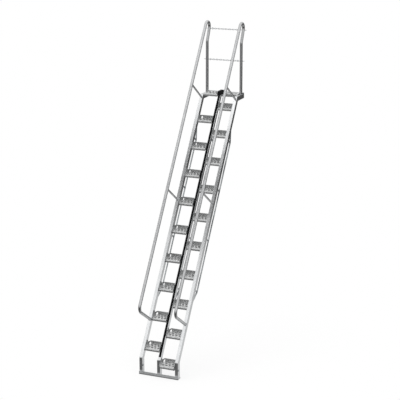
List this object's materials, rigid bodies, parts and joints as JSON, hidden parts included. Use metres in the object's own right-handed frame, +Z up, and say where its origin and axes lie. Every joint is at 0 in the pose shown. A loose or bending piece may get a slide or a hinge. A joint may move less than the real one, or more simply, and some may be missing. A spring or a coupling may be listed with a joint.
{
  "type": "alternating tread stair",
  "caption": "Steep steel stair with half-width treads stepping left and right in turn off a centre stringer, up to a small landing with looped handrails and chains.",
  "frame": {"origin": "middle of the underside of the base angle, on the floor", "axes": "+X across the stair to the climber's right, +Y the way the stair climbs, +Z up"},
  "size_m": [0.7218, 2.95, 5.261],
  "materials": {
    "stringer_steel": "galvanised, satin",
    "base_steel": "galvanised, satin",
    "tread_steel": "galvanised, dull, with a grip surface",
    "handrail_steel": "galvanised, smooth",
    "truss_steel": "galvanised, satin",
    "bumper_rubber": "black, matt",
    "chain_steel": "zinc plated"
  },
  "bodies": {
    "root": {"base_angle": "base_steel", "centre_bumper": "bumper_rubber", "chain_eyes": "chain_steel", "landing_flange": "base_steel", "landing_plate": "tread_steel", "left_foot": "stringer_steel", "left_handrail": "handrail_steel", "left_landing_rail": "stringer_steel", "left_lower_strut": "handrail_steel", "left_post": "handrail_steel", "left_stringer": "stringer_steel", "left_truss": "truss_steel", "left_upper_strut": "handrail_steel", "lower_chain": "chain_steel", "middle_foot": "stringer_steel", "middle_stringer": "stringer_steel", "middle_truss": "truss_steel", "right_foot": "stringer_steel", "right_handrail": "handrail_steel", "right_landing_rail": "stringer_steel", "right_lower_strut": "handrail_steel", "right_post": "handrail_steel", "right_stringer": "stringer_steel", "right_truss": "truss_steel", "right_upper_strut": "handrail_steel", "tread_01": "tread_steel", "tread_02": "tread_steel", "tread_03": "tread_steel", "tread_04": "tread_steel", "tread_05": "tread_steel", "tread_06": "tread_steel", "tread_07": "tread_steel", "tread_08": "tread_steel", "tread_09": "tread_steel", "tread_10": "tread_steel", "tread_11": "tread_steel", "tread_12": "tread_steel", "tread_13": "tread_steel", "tread_14": "tread_steel", "tread_15": "tread_steel", "tread_16": "tread_steel", "tread_17": "tread_steel", "tread_18": "tread_steel", "tread_19": "tread_steel", "upper_chain": "chain_steel"}
  },
  "joints": []
}
